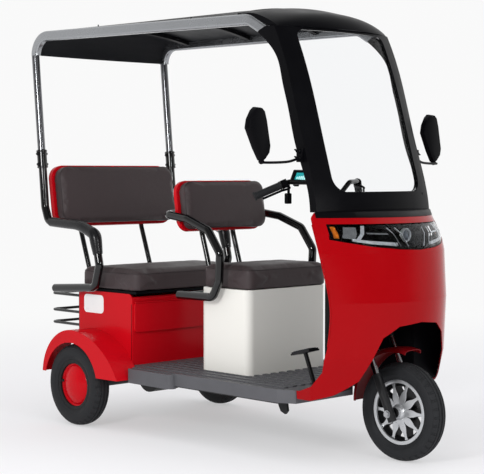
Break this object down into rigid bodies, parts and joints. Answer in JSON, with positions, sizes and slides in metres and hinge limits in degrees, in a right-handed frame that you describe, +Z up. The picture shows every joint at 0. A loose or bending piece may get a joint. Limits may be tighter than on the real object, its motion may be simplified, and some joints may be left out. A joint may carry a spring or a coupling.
{
  "type": "electric passenger tricycle with roof",
  "caption": "Roofed electric passenger tricycle with a handlebar-steered front wheel, a seat on a box for the rider and a bench over a storage box behind.",
  "frame": {"origin": "on the floor, under the middle of the bounding box", "axes": "+X forward along the vehicle, +Y to the rider's left, +Z up"},
  "size_m": [2.2474, 1.264, 1.944],
  "materials": {
    "tyre_rubber": "matte black rubber with moulded tread",
    "cast_aluminium": "machined cast alloy with black pockets",
    "red_painted_steel": "gloss red paint on pressed steel",
    "black_painted_steel": "semi-gloss black paint",
    "grey_plastic": "dark grey moulded plastic",
    "red_plastic": "gloss red moulded plastic",
    "gloss_black_tube": "gloss black powder-coated tube",
    "black_plastic": "satin black moulded plastic",
    "brown_leather": "dark brown synthetic leather",
    "white_plastic": "off-white moulded plastic",
    "clear_screen": "clear windscreen sheet",
    "lamp_lens": "clear lamp lens over dark housing",
    "grip_rubber": "ribbed black rubber"
  },
  "bodies": {
    "chassis": {"rear_axle": "black_painted_steel", "drive_motor": "black_painted_steel", "leaf_springs": "black_painted_steel", "chassis_frame": "black_painted_steel", "floor_deck": "grey_plastic", "bench_box": "red_plastic", "bench_front_panel": "red_plastic", "rear_panel": "black_painted_steel", "rear_rack": "gloss_black_tube", "tail_lamps": "black_plastic", "rear_fenders": "red_plastic", "bench_frame": "gloss_black_tube", "roof_posts": "gloss_black_tube", "bench_back_shell": "red_plastic", "bench_back_pad": "brown_leather", "seat_box": "white_plastic", "battery_pack": "black_plastic", "driver_cushion": "brown_leather", "driver_frame": "gloss_black_tube", "driver_back_shell": "red_plastic", "driver_back_pad": "brown_leather", "roof_panel": "black_plastic", "roof_rails": "gloss_black_tube", "windscreen_frame": "black_plastic", "windscreen_glass": "clear_screen", "roof_header": "black_plastic", "front_shell": "red_plastic", "headlamp": "lamp_lens", "leg_shield": "black_plastic", "brake_pedal": "black_painted_steel", "mirrors": "black_plastic"},
    "bench_lid": {"bench_lid": "black_plastic", "bench_cushion": "brown_leather"},
    "steering": {"fork": "black_painted_steel", "handlebar": "gloss_black_tube", "grips": "grip_rubber", "controls": "black_plastic", "display": "black_plastic", "front_mudguard": "red_plastic"},
    "front_wheel": {"front_tyre": "tyre_rubber", "front_rim": "cast_aluminium"},
    "rear_wheel_left": {"rear_tyre_left": "tyre_rubber", "rear_rim_left": "red_painted_steel"},
    "rear_wheel_right": {"rear_tyre_right": "tyre_rubber", "rear_rim_right": "red_painted_steel"}
  },
  "joints": [
    {"name": "steering", "type": "hinge", "parent": "chassis", "child": "steering", "pos_m": [0.91625, 0, 0.2075], "axis": [-0.4226, 0, 0.9063], "range_deg": [-40, 40]},
    {"name": "front_wheel_spin", "type": "hinge", "parent": "steering", "child": "front_wheel", "pos_m": [0.91625, 0, 0.2075], "axis": [0, 1, 0], "continuous": true},
    {"name": "rear_wheel_left_spin", "type": "hinge", "parent": "chassis", "child": "rear_wheel_left", "pos_m": [-0.71175, 0.4575, 0.195], "axis": [0, 1, 0], "continuous": true},
    {"name": "rear_wheel_right_spin", "type": "hinge", "parent": "chassis", "child": "rear_wheel_right", "pos_m": [-0.71175, -0.4575, 0.195], "axis": [0, 1, 0], "continuous": true},
    {"name": "bench_lid_hinge", "type": "hinge", "parent": "chassis", "child": "bench_lid", "pos_m": [-0.82575, 0, 0.6463], "axis": [0, -1, 0], "range_deg": [0, 80]}
  ]
}
